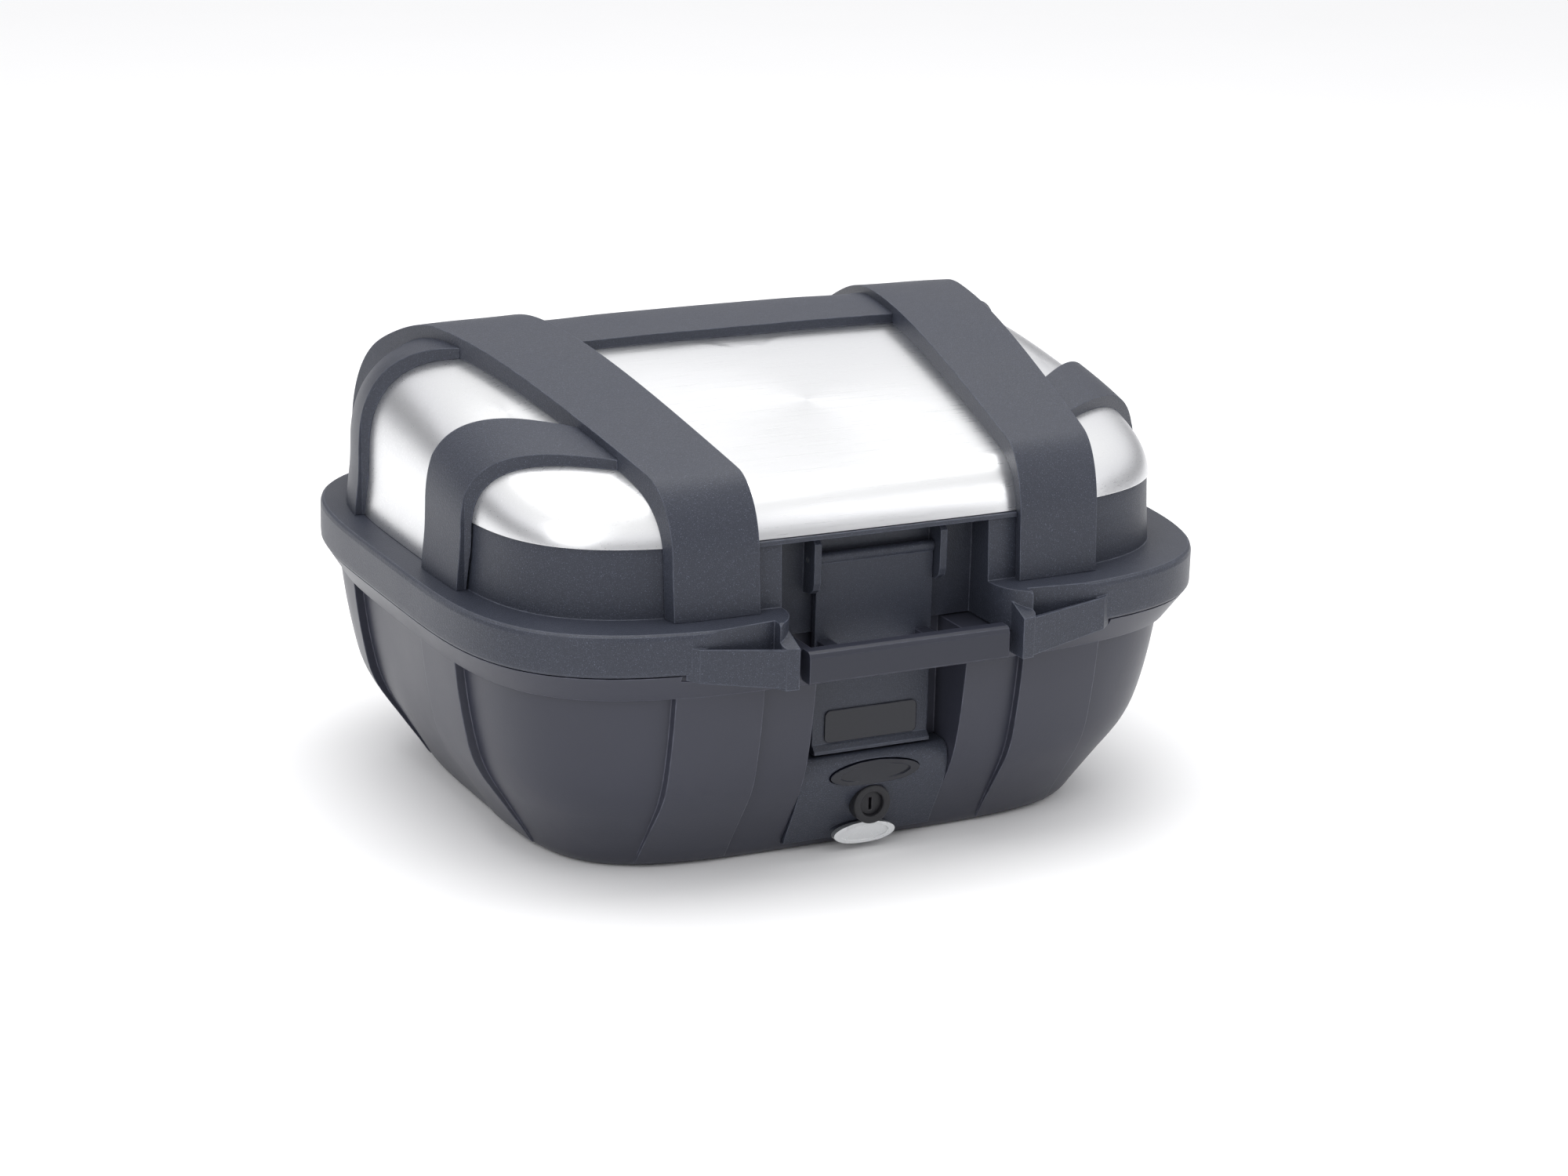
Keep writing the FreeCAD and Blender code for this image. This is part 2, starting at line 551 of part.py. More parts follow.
# ---------------------------------------------------------------- latch flap and handle
def latch_flap():
    pivot_y, pivot_z = FLAP_PIVOT
    back = FLAP_FACE_Y + FLAP_THICK
    lip = FLAP_FACE_Y - 4
    profile = [(back, pivot_z), (FLAP_FACE_Y, pivot_z), (FLAP_FACE_Y, FLAP_BOTTOM + 6),
               (lip, FLAP_BOTTOM + 2), (lip, FLAP_BOTTOM), (back, FLAP_BOTTOM)]
    plate_body = side_prism(profile, FLAP_X)
    barrel = rod(FLAP_BARREL_RADIUS, (-FLAP_X, pivot_y, pivot_z), (FLAP_X, pivot_y, pivot_z))
    hole = rod(FLAP_PIN_HOLE, (-FLAP_X - 1, pivot_y, pivot_z), (FLAP_X + 1, pivot_y, pivot_z))
    lug_profile = [(back - 1, STRIKE_Z + 4), (STRIKE_Y + 2.5, STRIKE_Z + 4),
                   (STRIKE_Y + 2.5, STRIKE_Z - 4), (back - 1, STRIKE_Z - 4)]
    lug = plate([(12, y, z) for y, z in lug_profile], V(4, 0, 0))
    strike_hole = rod(STRIKE_RADIUS, (-20, STRIKE_Y, STRIKE_Z), (20, STRIKE_Y, STRIKE_Z))
    holes = []
    for x in (-HANDLE_WEB_X - HANDLE_WEB_THICK / 2, HANDLE_WEB_X + HANDLE_WEB_THICK / 2):
        z = sum(HANDLE_WEB_Z) / 2
        holes.append(rod(2.2, (x, FLAP_FACE_Y - 1, z), (x, back + 1, z)))
        holes.append(rod(4.5, (x, back - 2.2, z), (x, back + 1, z)))
    body = fuse([plate_body, barrel] + both_sides(lug))
    return body.cut([hole, strike_hole] + holes)


def carry_handle():
    low, high = HANDLE_Z
    back = HANDLE_FRONT + HANDLE_DEPTH
    soft = 4.0
    profile = [(HANDLE_FRONT, low + 1), (HANDLE_FRONT, high - soft),
               (HANDLE_FRONT + soft * 0.3, high - soft * 0.3), (HANDLE_FRONT + soft, high),
               (back - 3, high), (back, high - 3), (back, low + 3), (back - 3, low),
               (HANDLE_FRONT + 1, low)]
    bar = side_prism(profile, HANDLE_X)
    web = box((HANDLE_WEB_X, HANDLE_WEB_X + HANDLE_WEB_THICK), (back - 4, FLAP_FACE_Y - 0.02),
              HANDLE_WEB_Z)
    handle = fuse([bar] + both_sides(web))
    z = sum(HANDLE_WEB_Z) / 2
    x = HANDLE_WEB_X + HANDLE_WEB_THICK / 2
    hole = rod(1.6, (x, FLAP_FACE_Y - 16, z), (x, FLAP_FACE_Y + 1, z))
    return handle.cut(both_sides(hole))


def handle_screws():
    z = sum(HANDLE_WEB_Z) / 2
    x = HANDLE_WEB_X + HANDLE_WEB_THICK / 2
    back = FLAP_FACE_Y + FLAP_THICK
    shank = rod(1.6, (x, FLAP_FACE_Y - 15, z), (x, back - 2.2, z))
    head = rod(3.6, (x, back - 2.2, z), (x, back - 0.3, z))
    return both_sides(fuse([shank, head]))


def badge():
    low, high = BADGE_Z
    radius = 4.0
    block = box((-BADGE_X, BADGE_X), (FLAP_FACE_Y - BADGE_THICK, FLAP_FACE_Y - 0.02), (low, high))
    corners = [e for e in block.Edges if abs(e.Vertexes[0].Y - e.Vertexes[-1].Y) > 1]
    return block.makeFillet(radius, corners)


# ---------------------------------------------------------------- lock housing and buttons
def housing_face():
    """Side profile of the bulging lock panel."""
    points = [V(0, -191, NICHE_TOP - 0.4), V(0, -197, 69), V(0, -197.5, 58), V(0, -193, 45),
              V(0, -186.5, 32), V(0, -179.5, 19), V(0, -174.5, NICHE_BOTTOM + 0.5)]
    curve = Part.BSplineCurve()
    curve.interpolate(points)
    return curve.toShape(), points[0], points[-1]


def lock_housing():
    edge, top, bottom = housing_face()
    back = NICHE_Y - 0.5
    rear_top, rear_bottom = V(0, back, top.z), V(0, back, bottom.z)
    wire = Part.Wire([edge, Part.makeLine(bottom, rear_bottom), Part.makeLine(rear_bottom, rear_top),
                      Part.makeLine(rear_top, top)])
    half = TUB_RECESS_X - HOUSING_GAP
    body = Part.Face(wire).extrude(V(2 * half, 0, 0))
    body.translate(V(-half, 0, 0))
    hollow = box((-50, 50), (-184, back - 4), (46, 70)).fuse(box((-50, 50), (-173, back - 4), (19, 46)))
    button_hole = ellipse_bar(BUTTON_HALF_X - 1.5, BUTTON_HALF_Z - 1.5, BUTTON_Z, -210, -180)
    dish = ellipse_bar(BUTTON_HALF_X + 0.8, BUTTON_HALF_Z + 0.8, BUTTON_Z, -210, -191)
    thumb_dish = ellipse_bar(RELEASE_HALF_X + 0.8, RELEASE_HALF_Z + 0.8, RELEASE_Z, -210, -177.5)
    barrel_hole = rod(LOCK_BARREL_RADIUS, (0, -210, LOCK_Z), (0, -171, LOCK_Z))
    ring_seat = rod(LOCK_RING_RADIUS, (0, -210, LOCK_Z), (0, -188, LOCK_Z))
    catch_slot = box((-9.4, 9.4), (-183.4, -176.6), (60, 80))
    stem_slot = box((-8.3, 8.3), (-190, -158), (RELEASE_Z - 3.3, RELEASE_Z + 3.3))
    bolt_slot = box((-BOLT_HALF_X - 0.4, BOLT_HALF_X + 0.4), (-165, back + 1),
                    (BOLT_Z[0] - 0.4, BOLT_Z[1] + 0.4))
    screws = []
    for x in HOUSING_SCREW_X:
        screws.append(rod(1.6, (x, back - 8, HOUSING_SCREW_Z), (x, back + 1, HOUSING_SCREW_Z)))
    return body.cut([hollow, button_hole, dish, thumb_dish, barrel_hole, ring_seat, catch_slot, stem_slot,
                     bolt_slot] + screws)


def housing_screws():
    """Screws that hold the lock housing from inside the luggage space."""
    inside = NICHE_Y + WALL
    screws = []
    for x in HOUSING_SCREW_X:
        screws.append(fuse([rod(1.6, (x, NICHE_Y - 8, HOUSING_SCREW_Z), (x, inside, HOUSING_SCREW_Z)),
                            rod(3.2, (x, inside, HOUSING_SCREW_Z), (x, inside + 2, HOUSING_SCREW_Z))]))
    return screws


def lock_ring():
    tube = rod(LOCK_RING_RADIUS - 0.02, (0, -197, LOCK_Z), (0, -188, LOCK_Z))
    tube = tube.cut(rod(LOCK_BARREL_RADIUS + RUN, (0, -200, LOCK_Z), (0, -180, LOCK_Z)))
    rims = [e for e in tube.Edges if abs(e.BoundBox.YMin + 197) < 0.01 and e.BoundBox.YLength < 0.01]
    return tube.makeFillet(1.5, rims)


def lock_cylinder():
    barrel = rod(LOCK_BARREL_RADIUS - RUN, (0, -193, LOCK_Z), (0, -168, LOCK_Z))
    keyway = box((-1.2, 1.2), (-197, -187), (LOCK_Z - 5, LOCK_Z + 4))
    return barrel.cut(keyway)


def lock_cam():
    block = box((-5, 5), (-167.98, -165), (LOCK_Z - 6, LOCK_Z + 14))
    return block.cut(rod(1.8, (0, -170, LOCK_Z), (0, -160, LOCK_Z)))


def cam_screw():
    shank = rod(1.8, (0, -167.98, LOCK_Z), (0, -164.98, LOCK_Z))
    return fuse([shank, rod(3.6, (0, -164.98, LOCK_Z), (0, -162.8, LOCK_Z))])


def open_button():
    """Dished oval push button with a slim stem through the housing."""
    head = ellipse_bar(BUTTON_HALF_X, BUTTON_HALF_Z, BUTTON_Z, -199.5, -195.6)
    dish = Part.makeSphere(120.0, V(0, -199.5 - 118.0, BUTTON_Z))
    neck = ellipse_bar(BUTTON_HALF_X - 2, BUTTON_HALF_Z - 2, BUTTON_Z, -196, -182)
    notch = box((-10.5, 10.5), (-188, -170), (BUTTON_Z - 20, BUTTON_Z + 20))
    well = ellipse_bar(BUTTON_HALF_X - 7, BUTTON_HALF_Z - 3, BUTTON_Z, -201, -198.0)
    return fuse([head, neck]).cut([dish, notch, well])


def lid_catch():
    """Plunger whose nose stands under the flap's strike bar."""
    nose_top = STRIKE_Z - STRIKE_RADIUS - 0.4
    stem = box((-9, 9), (-183, -177), (56, nose_top - 4))
    nose = side_prism([(-183, nose_top - 4), (-177, nose_top - 4), (-178.5, nose_top),
                       (-182.5, nose_top)], 9)
    return fuse([stem, nose])


def release_button():
    """Oval thumb button with its stem; a shallow dish in its face."""
    head = ellipse_bar(RELEASE_HALF_X, RELEASE_HALF_Z, RELEASE_Z, -186.5, -182)
    dish = Part.makeSphere(90.0, V(0, -186.5 - 88.8, RELEASE_Z))
    stem = box((-8, 8), (-183, -169), (RELEASE_Z - 3, RELEASE_Z + 3))
    well = ellipse_bar(RELEASE_HALF_X - 5, RELEASE_HALF_Z - 2.2, RELEASE_Z, -187, -185.2)
    return fuse([head.cut([dish, well]), stem])


def plate_bolt():
    """Tongue that reaches into the rack plate recess."""
    low, high = BOLT_Z
    profile = [(-160, low), (-160, high), (RACK_Y[0] + 4, high), (RACK_Y[0] + 4, high - 1.5),
               (RACK_Y[0] + 1, low)]
    return side_prism(profile, BOLT_HALF_X)


# ---------------------------------------------------------------- hinges and stays
def knuckle_spans():
    """Alternating barrel lengths of a hinge: lower, upper, lower."""
    low = HINGE_X - HINGE_WIDTH / 2
    third = HINGE_WIDTH / 3
    gap = 0.2
    return [(low + i * third + gap, low + (i + 1) * third - gap) for i in range(3)]


def hinge_leaf(side, spans, bore):
    """Bent leaf: side is -1 for the lower shell and 1 for the lid."""
    half = HINGE_WIDTH / 2
    x = (HINGE_X - half, HINGE_X + half)
    near, far_z = HINGE_Z + side * 5.5, HINGE_Z + side * 25
    leaf = box(x, (LEAF_Y + 0.02, LEAF_Y + LEAF_THICK), (min(near, far_z), max(near, far_z)))
    pieces = [leaf]
    for low, high in spans:
        barrel = rod(KNUCKLE_RADIUS, (low, HINGE_Y, HINGE_Z), (high, HINGE_Y, HINGE_Z))
        bridge = box((low, high), (LEAF_Y + 0.02, HINGE_Y), (near - 1.5, near + 1.5))
        inner, outer = HINGE_Z + side * 1.0, HINGE_Z + side * 6.9
        neck = box((low, high), (HINGE_Y - KNUCKLE_RADIUS, HINGE_Y + KNUCKLE_RADIUS),
                   (min(inner, outer), max(inner, outer)))
        pieces += [barrel, bridge, neck]
    hole = rod(bore, (x[0] - 1, HINGE_Y, HINGE_Z), (x[1] + 1, HINGE_Y, HINGE_Z))
    screw_holes = []
    for screw_x in (HINGE_X - 12, HINGE_X + 12):
        z = HINGE_Z + side * 16
        screw_holes.append(rod(2.0, (screw_x, 230, z), (screw_x, 250, z)))
    return fuse(pieces).cut([hole] + screw_holes)


def hinge_screws(side):
    screws = []
    for screw_x in (HINGE_X - 12, HINGE_X + 12):
        z = HINGE_Z + side * 16
        shank = rod(2.0, (screw_x, LEAF_Y - 12, z), (screw_x, LEAF_Y + LEAF_THICK, z))
        head = rod(3.8, (screw_x, LEAF_Y + LEAF_THICK, z), (screw_x, LEAF_Y + LEAF_THICK + 2.2, z))
        screws += both_sides(fuse([shank, head]))
    return screws


def screw_bores(side):
    bores = []
    for screw_x in (HINGE_X - 12, HINGE_X + 12):
        z = HINGE_Z + side * 16
        bores += both_sides(rod(2.0, (screw_x, LEAF_Y - 12, z), (screw_x, LEAF_Y + 1, z)))
    return bores


def link(start, end, layer, bore_start, bore_end):
    """Flat bar with round ends between two pivots in a YZ plane; layer is its (low, high) x."""
    (y0, z0), (y1, z1) = start, end
    length = math.hypot(y1 - y0, z1 - z0)
    ny, nz = -(z1 - z0) / length * STAY_WIDTH / 2, (y1 - y0) / length * STAY_WIDTH / 2
    bar = plate([(layer[0], y0 + ny, z0 + nz), (layer[0], y1 + ny, z1 + nz),
                 (layer[0], y1 - ny, z1 - nz), (layer[0], y0 - ny, z0 - nz)], V(layer[1] - layer[0], 0, 0))
    ends = [rod(STAY_WIDTH / 2, (layer[0], y, z), (layer[1], y, z)) for y, z in (start, end)]
    holes = [rod(bore_start, (layer[0] - 1, y0, z0), (layer[1] + 1, y0, z0)),
             rod(bore_end, (layer[0] - 1, y1, z1), (layer[1] + 1, y1, z1))]
    return fuse([bar] + ends).cut(holes)


def stay_points():
    """Pivots of the folding stay: with the hinge they form a rhombus, so it folds with the lid."""
    lower = STAY_LOWER
    upper = (lower[0], STAY_UPPER_Z)
    elbow = (lower[0] + upper[0] - HINGE_Y, lower[1] + upper[1] - HINGE_Z)
    return lower, upper, elbow


def bracket(point, layer):
    """Block on the side wall with the rivet that carries the link lying in a layer."""
    y, z = point
    pad = box(STAY_PAD_X, (y - 6, y + 6), (z - 4, z + 4))
    post = rod(5.0, (layer[1] + 0.1, y, z), (STAY_PAD_X[0] + 1, y, z))
    rivet = rod(STAY_RIVET, (layer[0] - 1, y, z), (STAY_PAD_X[0] + 1, y, z))
    head = rod(STAY_HEAD, (layer[0] - 1.05, y, z), (layer[0] - 0.05, y, z))
    return fuse([pad, post, rivet, head])


# ---------------------------------------------------------------- rack plate insert
def mount_insert():
    """Steel plate in the underside recess with two hook pockets at the rear."""
    low, high = RACK_DEPTH - INSERT_THICK, RACK_DEPTH - 0.05
    sheet = box((-85, 85), (-110, 95), (low, high))
    pockets = [box((x - 15, x + 15), (70, 78), (low - 1, high + 1)) for x in (-55, 55)]
    holes = [rod(2.6, (x, y, low - 1), (x, y, high + 1)) for x in (-75, 75) for y in (-95, 40)]
    hooks = []
    for x in (-55, 55):
        hooks.append(box((x - 14, x + 14), (66, 69.9), (low - 8, low + 0.5)))
        hooks.append(box((x - 14, x + 14), (58, 69.9), (low - 8, low - 5)))
    return fuse([sheet.cut(pockets + holes)] + hooks)


def insert_screws():
    screws = []
    low = RACK_DEPTH - INSERT_THICK
    for x in (-75, 75):
        for y in (-95, 40):
            screws.append(fuse([rod(2.2, (x, y, low), (x, y, RACK_DEPTH + 2.0)),
                                rod(4.5, (x, y, low - 2.5), (x, y, low))]))
    return screws


# ---------------------------------------------------------------- build
def main():
    os.makedirs("parts", exist_ok=True)

    lid = lid_shell()
    skin_low, skin_high = dome(SKIN_LIFT, LID_RIM_TOP - 5), dome(SKIN_LIFT + SKIN, LID_RIM_TOP - 5)
    centre, side = skins(skin_low, skin_high)
    band_solid = dome(BAND_THICK, LID_RIM_TOP - 5).cut(dome(BAND_LIFT, LID_RIM_TOP - 5))
    strap = strap_band()
    holes = [rod(2.0, (x, y, 200), (x, y, crown(x, y) + 8)) for x, y in lid_screw_places()]
    strap = strap.cut(holes)
    side_band = cross_band(band_solid, SIDE_BAND)
    rear_side = cross_band(band_solid, REAR_BAND)
    rear_centre = rear_centre_band(band_solid)

    tub = lower_shell()
    screw_holes = [rod(2.2, (x, y, RACK_DEPTH - 1), (x, y, RACK_DEPTH + 2.0))
                   for x in (-75, 75) for y in (-95, 40)]
    housing_holes = [rod(1.6, (x, NICHE_Y - 1, HOUSING_SCREW_Z), (x, NICHE_Y + WALL + 1, HOUSING_SCREW_Z))
                     for x in HOUSING_SCREW_X]
    tub = cut_each(tub, screw_bores(-1) + screw_holes + housing_holes)
    lid = cut_each(lid, screw_bores(1))

    lower, upper, elbow = stay_points()
    near = (STAY_X - 2.6, STAY_X - 0.6)
    away = (STAY_X + 0.2, STAY_X + 2.2)
    stay_low = link(lower, elbow, away, STAY_RIVET + RUN, STAY_RIVET)
    stay_up = link(upper, elbow, near, STAY_RIVET + RUN, STAY_RIVET + RUN)
    elbow_rivet = fuse([rod(STAY_RIVET, (near[0] - 1, *elbow), (away[1] + 0.5, *elbow)),
                        rod(STAY_HEAD, (near[0] - 1.05, *elbow), (near[0] - 0.05, *elbow)),
                        rod(STAY_HEAD, (away[1], *elbow), (away[1] + 0.9, *elbow))])
    low_bracket = bracket(lower, away).cut(tub)
    up_bracket = bracket(upper, near).cut(lid)

    export("lower_shell", tub)
    export("rim_seal", seal_path(0.0, TUB_RIM_TOP - SEAL_GROOVE_DEPTH, LID_RIM_BOTTOM - SEAL_GAP))
    export("lock_housing", lock_housing())
    export("lock_housing_screws", group(housing_screws()))
    export("lock_ring", lock_ring())
    export("mount_insert", mount_insert())
    export("mount_insert_screws", group(insert_screws()))
    export("lid_shell", lid)
    export("center_panel", centre)
    export("side_panel_right", side)
    export("side_panel_left", mirrored(side))
    export("strap_right", strap)
    export("strap_left", mirrored(strap))
    export("side_band_right", side_band)
    export("side_band_left", mirrored(side_band))
    export("rear_band_right", rear_side)
    export("rear_band_left", mirrored(rear_side))
    export("rear_band_center", rear_centre)
    export("band_screws", group(lid_screws()))

    spans = knuckle_spans()
    export("hinge_leaves_lower", group(both_sides(hinge_leaf(-1, [spans[0], spans[2]], HINGE_PIN_RADIUS))))
    export("hinge_leaves_upper", group(both_sides(hinge_leaf(1, [spans[1]], HINGE_PIN_RADIUS + RUN))))
    export("hinge_screws_lower", group(hinge_screws(-1)))
    export("hinge_screws_upper", group(hinge_screws(1)))
    half = HINGE_WIDTH / 2 + 1
    pin = rod(HINGE_PIN_RADIUS, (HINGE_X - half, HINGE_Y, HINGE_Z), (HINGE_X + half, HINGE_Y, HINGE_Z))
    export("hinge_pins", group(both_sides(pin)))

    export("stay_bracket_lower_right", low_bracket)
    export("stay_bracket_lower_left", mirrored(low_bracket))
    export("stay_bracket_upper_right", up_bracket)
    export("stay_bracket_upper_left", mirrored(up_bracket))
    export("stay_link_lower_right", stay_low)
    export("stay_link_lower_left", mirrored(stay_low))
    export("stay_link_upper_right", stay_up)
    export("stay_link_upper_left", mirrored(stay_up))
    export("stay_rivet_right", elbow_rivet)
    export("stay_rivet_left", mirrored(elbow_rivet))

    export("latch_flap", latch_flap())
    pivot_y, pivot_z = FLAP_PIVOT
    reach = EAR_X + EAR_THICK
    export("flap_pin", rod(FLAP_PIN_RADIUS, (-reach, pivot_y, pivot_z), (reach, pivot_y, pivot_z)))
    export("carry_handle", carry_handle())
    export("handle_screws", group(handle_screws()))
    export("strike_bar", rod(STRIKE_RADIUS, (-16, STRIKE_Y, STRIKE_Z), (16, STRIKE_Y, STRIKE_Z)))
    export("badge_plate", badge())

    export("open_button", open_button())
    export("lid_catch", lid_catch())
    export("lock_cylinder", lock_cylinder())
    export("lock_cam", lock_cam())
    export("cam_screw", cam_screw())
    export("release_button", release_button())
    export("plate_bolt", plate_bolt())


main()
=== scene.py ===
"""Motorcycle top case: materials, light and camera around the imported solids, in metres."""

import json
import math

import bpy
from mathutils import Matrix, Vector


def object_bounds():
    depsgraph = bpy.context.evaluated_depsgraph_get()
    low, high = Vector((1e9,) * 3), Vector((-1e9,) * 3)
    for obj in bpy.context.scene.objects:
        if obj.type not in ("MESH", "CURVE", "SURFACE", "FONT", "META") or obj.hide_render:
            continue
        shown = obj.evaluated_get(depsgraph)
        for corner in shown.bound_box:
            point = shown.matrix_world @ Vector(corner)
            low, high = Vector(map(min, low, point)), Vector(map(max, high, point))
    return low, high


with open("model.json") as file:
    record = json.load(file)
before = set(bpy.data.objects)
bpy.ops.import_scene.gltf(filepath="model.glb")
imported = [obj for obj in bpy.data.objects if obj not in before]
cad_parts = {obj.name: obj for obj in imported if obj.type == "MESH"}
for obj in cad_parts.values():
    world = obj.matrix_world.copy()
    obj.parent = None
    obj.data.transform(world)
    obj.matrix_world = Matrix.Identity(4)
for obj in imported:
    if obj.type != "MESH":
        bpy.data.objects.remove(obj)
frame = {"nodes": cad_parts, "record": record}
cad_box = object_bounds()

# ---------------------------------------------------------------- camera: front left, from above
AZIMUTH, ELEVATION, ROLL = math.radians(-27.02), math.radians(17.28), math.radians(1.50)
DISTANCE = 2.6
TARGET = Vector((-0.0163, -0.0872, 0.1618))
LENS, SENSOR = 85.92, 36.0  # mm

# ---------------------------------------------------------------- floor and light
FLOOR_HALF = 6.0
FLOOR_DROP = 0.0004  # the floor lies just under the base, so that the faces don't coincide
LIGHT_AIM = Vector((0.0, 0.0, 0.15))
WHITE = (1.0, 1.0, 1.0)
# What the surfaces reflect, from the horizon up: a dark band gives the gloss its contrast.
SURROUNDINGS = (
    (0.00, (0.55, 0.55, 0.57)),
    (0.10, (0.30, 0.30, 0.309)),
    (0.24, (0.42, 0.42, 0.4326)),
    (0.40, (0.95, 0.95, 0.9785)),
    (0.62, WHITE),
)

# ---------------------------------------------------------------- features per metre in textures
# The second scale sets the patches along the paler edges, which are painted edge highlight mixed
# with rubbed wear.
SHEEN_SCALE, HIGHLIGHT_AND_WEAR_PATCH_SCALE = 9.0, 120.0
TARNISH_SCALE = 6.0
FLOOR_CLOUD_SCALE = 3.0
GRAIN_FINENESS = 2.4  # fine noise features per pebble of the grain

# ---------------------------------------------------------------- how far edges must turn to get the painted edge highlight and, on plastic, rubbed wear
EDGE_START, EDGE_FULL = 0.998, 0.88  # cosine between the rounded and the flat normal
EDGE_SAMPLES = 6


# ---------------------------------------------------------------- node helpers
def add(tree, kind, inputs=None, **settings):
    """New shader node; inputs are values or sockets to link."""
    node = tree.nodes.new(kind)
    for key, value in settings.items():
        setattr(node, key, value)
    for key, value in (inputs or {}).items():
        if isinstance(value, bpy.types.NodeSocket):
            tree.links.new(value, node.inputs[key])
        else:
            node.inputs[key].default_value = value
    return node


def ramp(tree, source, low, high, low_value, high_value):
    """Maps source from low..high to low_value..high_value."""
    inputs = {"Value": source, "From Min": low, "From Max": high,
              "To Min": low_value, "To Max": high_value}
    return add(tree, "ShaderNodeMapRange", inputs).outputs["Result"]


def noise(tree, vector, scale, detail, roughness=0.5):
    inputs = {"Vector": vector, "Scale": scale, "Detail": detail, "Roughness": roughness}
    return add(tree, "ShaderNodeTexNoise", inputs).outputs["Fac"]


def math_node(tree, operation, first, second):
    return add(tree, "ShaderNodeMath", {0: first, 1: second}, operation=operation).outputs["Value"]


def colour_mix(tree, factor, first, second):
    """First where factor is 0, second where it is 1; each is a colour or a socket."""
    node = add(tree, "ShaderNodeMix", data_type="RGBA")
    tree.links.new(factor, node.inputs["Factor"])
    for index, value in ((6, first), (7, second)):
        if isinstance(value, bpy.types.NodeSocket):
            tree.links.new(value, node.inputs[index])
        else:
            node.inputs[index].default_value = (*value, 1.0)
    return node.outputs[2]


def shade(colour, factor, lift=0.0):
    return tuple(min(1.0, channel * factor + lift) for channel in colour)


def edge_mask(tree, radius):
    """Normal rounded over radius at edges, and a mask that is 1 along them."""
    bevel = add(tree, "ShaderNodeBevel", {"Radius": radius}, samples=EDGE_SAMPLES).outputs["Normal"]
    normal = add(tree, "ShaderNodeNewGeometry").outputs["Normal"]
    turn = add(tree, "ShaderNodeVectorMath", {0: bevel, 1: normal}, operation="DOT_PRODUCT")
    return bevel, ramp(tree, turn.outputs["Value"], EDGE_START, EDGE_FULL, 0.0, 1.0)


def relief(tree, strength, depth, height, normal):
    inputs = {"Strength": strength, "Distance": depth, "Height": height, "Normal": normal}
    return add(tree, "ShaderNodeBump", inputs).outputs["Normal"]


def start(name):
    """New material with its node tree, its surface shader and the position in the frame."""
    made = bpy.data.materials.new(name)
    made.use_nodes = True
    tree = made.node_tree
    surface = tree.nodes["Principled BSDF"]
    position = add(tree, "ShaderNodeTexCoord").outputs["Object"]
    return made, tree, surface, position


def plastic(name, colour, roughness, grain_size, grain_depth, soften=0.0012, specks=0.0, highlight_and_wear_level=0.6,
            shine=0.36):
    """Moulded plastic: pebbled grain, cloudy sheen, paler edges that are painted edge highlight
    mixed with rubbed wear, optional pale specks.
    """
    made, tree, surface, position = start(name)
    bevel, edges = edge_mask(tree, soften)
    cloud = noise(tree, position, SHEEN_SCALE, detail=4.0)
    highlight_and_wear_patches = noise(tree, position, HIGHLIGHT_AND_WEAR_PATCH_SCALE, detail=5.0)
    base = colour_mix(tree, cloud, shade(colour, 0.86), shade(colour, 1.14))
    # Paler edges: painted edge highlight mixed with rubbed wear, in patches along the edge.
    edge_highlight_and_wear = math_node(tree, "MULTIPLY", edges, ramp(tree, highlight_and_wear_patches, 0.38, 0.66, 0.2, highlight_and_wear_level))
    base = colour_mix(tree, edge_highlight_and_wear, base, shade(colour, 4.5, lift=0.05))
    cells = add(tree, "ShaderNodeTexVoronoi", {"Vector": position, "Scale": 1.0 / grain_size},
                feature="SMOOTH_F1").outputs["Distance"]
    fine = noise(tree, position, GRAIN_FINENESS / grain_size, detail=2.0)
    if specks:
        bright = ramp(tree, fine, 0.60, 0.72, 0.0, specks)
        base = colour_mix(tree, bright, base, shade(colour, 4.2, lift=0.02))
    height = math_node(tree, "ADD", cells, fine)
    tree.links.new(base, surface.inputs["Base Color"])
    tree.links.new(relief(tree, 0.55, grain_depth, height, bevel), surface.inputs["Normal"])
    tree.links.new(ramp(tree, cloud, 0.3, 0.7, roughness - 0.05, roughness + 0.06),
                   surface.inputs["Roughness"])
    surface.inputs["Specular IOR Level"].default_value = shine
    return made


def metal(name, colour, roughness, stretch, depth, anisotropy=0.0, soften=0.0005, metallic=1.0):
    """Brushed or plated metal: drawn lines, faint tarnish and edges painted brighter as a
    highlight.
    """
    made, tree, surface, position = start(name)
    bevel, edges = edge_mask(tree, soften)
    drawn = add(tree, "ShaderNodeMapping", {"Vector": position, "Scale": stretch}).outputs["Vector"]
    lines = noise(tree, drawn, 1.0, detail=4.0, roughness=0.65)
    tarnish = noise(tree, position, TARNISH_SCALE, detail=3.0)
    base = colour_mix(tree, tarnish, shade(colour, 0.96), shade(colour, 1.03))
    base = colour_mix(tree, ramp(tree, lines, 0.35, 0.65, 0.0, 0.10), base, shade(colour, 0.8))
    # Painted edge highlight: the edges are made lighter in colour.
    base = colour_mix(tree, edges, base, shade(colour, 1.1))
    tree.links.new(base, surface.inputs["Base Color"])
    tree.links.new(relief(tree, 0.25, depth, lines, bevel), surface.inputs["Normal"])
    tree.links.new(ramp(tree, lines, 0.3, 0.7, roughness - 0.04, roughness + 0.05),
                   surface.inputs["Roughness"])
    surface.inputs["Metallic"].default_value = metallic
    surface.inputs["Anisotropic"].default_value = anisotropy
    return made


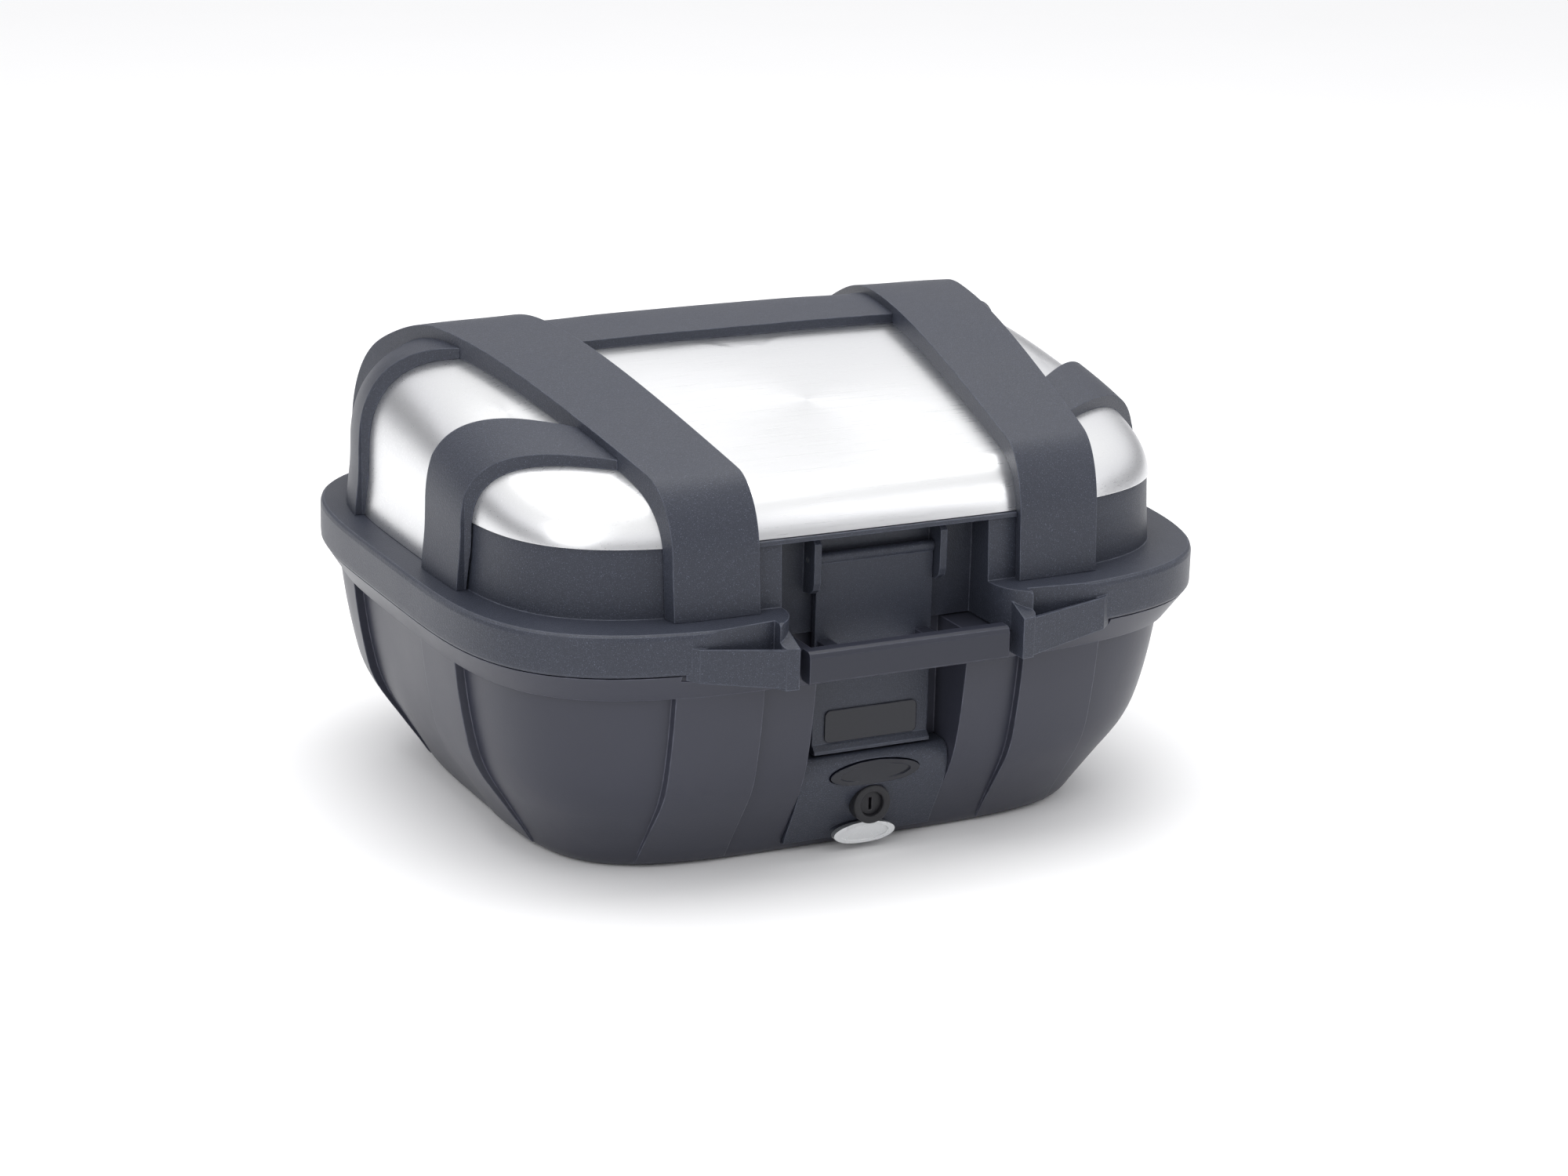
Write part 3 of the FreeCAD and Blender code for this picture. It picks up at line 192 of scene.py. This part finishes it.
# ---------------------------------------------------------------- one material per slot
MATERIALS = {
    "moulded_plastic": plastic("grained_plastic", (0.029, 0.033, 0.047), roughness=0.40,
                               grain_size=0.0012, grain_depth=0.00030, specks=0.8),
    "shell_plastic": plastic("shell_plastic", (0.033, 0.035, 0.050), roughness=0.36,
                             grain_size=0.0016, grain_depth=0.00005),
    "trim_plastic": plastic("trim_plastic", (0.022, 0.024, 0.036), roughness=0.38,
                            grain_size=0.0012, grain_depth=0.00006),
    "gloss_black": plastic("gloss_black", (0.005, 0.006, 0.012), roughness=0.10,
                           grain_size=0.004, grain_depth=0.000003, highlight_and_wear_level=0.3, shine=0.42),
    "alloy_sheet": metal("satin_aluminium", (0.83, 0.835, 0.845), roughness=0.30,
                         stretch=(18.0, 900.0, 900.0), depth=0.00002, anisotropy=0.35),
    "silver_plastic": metal("silver_lacquer", (0.70, 0.71, 0.72), roughness=0.30,
                            stretch=(700.0, 700.0, 700.0), depth=0.00001, metallic=0.85),
    "seal_rubber": plastic("seal_rubber", (0.018, 0.018, 0.018), roughness=0.72,
                           grain_size=0.0008, grain_depth=0.00004, soften=0.0008),
    "zinc_steel": metal("zinc_plate", (0.40, 0.41, 0.42), roughness=0.34,
                        stretch=(400.0, 400.0, 400.0), depth=0.00003),
    "cast_zinc": plastic("black_cast", (0.014, 0.014, 0.017), roughness=0.42,
                         grain_size=0.0007, grain_depth=0.00008),
}

slots = {part["node"]: part["material_slot"] for part in frame["record"]["subparts"]}
for node, obj in frame["nodes"].items():
    obj.data.materials.clear()
    obj.data.materials.append(MATERIALS[slots[node]])


# ---------------------------------------------------------------- stage
def studio_floor():
    mesh = bpy.data.meshes.new("studio_floor")
    corners = [(x * FLOOR_HALF, y * FLOOR_HALF, 0) for x, y in ((-1, -1), (1, -1), (1, 1), (-1, 1))]
    mesh.from_pydata(corners, [], [(0, 1, 2, 3)])
    floor = bpy.data.objects.new("studio_floor", mesh)
    floor.location.z = cad_box[0][2] - FLOOR_DROP
    bpy.context.collection.objects.link(floor)
    made, tree, surface, position = start("pale_floor")
    cloud = noise(tree, position, FLOOR_CLOUD_SCALE, detail=3.0)
    tree.links.new(colour_mix(tree, cloud, (0.95, 0.95, 0.955), (0.97, 0.97, 0.975)),
                   surface.inputs["Base Color"])
    surface.inputs["Roughness"].default_value = 0.75
    mesh.materials.append(made)


def area_light(name, place, size, power):
    lamp = bpy.data.lights.new(name, "AREA")
    lamp.shape = "RECTANGLE"
    lamp.size, lamp.size_y = size
    lamp.energy = power
    obj = bpy.data.objects.new(name, lamp)
    obj.location = place
    obj.rotation_euler = (LIGHT_AIM - Vector(place)).to_track_quat("-Z", "Y").to_euler()
    bpy.context.collection.objects.link(obj)


def studio_light():
    """Graded surroundings for the reflections, plain white behind the object, three lamps."""
    world = bpy.data.worlds.new("studio")
    bpy.context.scene.world = world
    world.use_nodes = True
    tree = world.node_tree
    background = tree.nodes["Background"]
    direction = add(tree, "ShaderNodeTexCoord").outputs["Generated"]
    height = add(tree, "ShaderNodeSeparateXYZ", {"Vector": direction}).outputs["Z"]
    band = add(tree, "ShaderNodeValToRGB", {"Fac": height})
    stops = band.color_ramp.elements
    for place, _ in SURROUNDINGS[1:-1]:
        stops.new(place)
    for stop, (place, colour) in zip(stops, SURROUNDINGS):
        stop.position = place
        stop.color = (*colour, 1.0)
    seen = add(tree, "ShaderNodeLightPath").outputs["Is Camera Ray"]
    tree.links.new(colour_mix(tree, seen, band.outputs["Color"], WHITE),
                   background.inputs["Color"])
    background.inputs["Strength"].default_value = 1.0
    area_light("overhead", place=(0.0, 0.1, 2.4), size=(2.6, 2.0), power=40.0)
    area_light("left_front", place=(-2.1, -1.6, 1.5), size=(1.4, 1.6), power=14.0)
    area_light("right_front", place=(1.9, -2.1, 1.2), size=(1.0, 1.6), power=7.0)


def photo_camera():
    level = math.cos(ELEVATION)
    back = Vector((math.sin(AZIMUTH) * level, -math.cos(AZIMUTH) * level, math.sin(ELEVATION)))
    right = Vector((math.cos(AZIMUTH), math.sin(AZIMUTH), 0.0))
    up = back.cross(right)
    x_axis = math.cos(ROLL) * right + math.sin(ROLL) * up
    y_axis = math.cos(ROLL) * up - math.sin(ROLL) * right
    matrix = Matrix((x_axis, y_axis, back)).transposed().to_4x4()
    matrix.translation = TARGET + DISTANCE * back
    lens = bpy.data.cameras.new("photo_camera")
    lens.lens, lens.sensor_width = LENS, SENSOR
    camera = bpy.data.objects.new("photo_camera", lens)
    camera.matrix_world = matrix
    bpy.context.collection.objects.link(camera)
    bpy.context.scene.camera = camera


studio_floor()
studio_light()
photo_camera()
bpy.context.scene.view_settings.view_transform = "Standard"
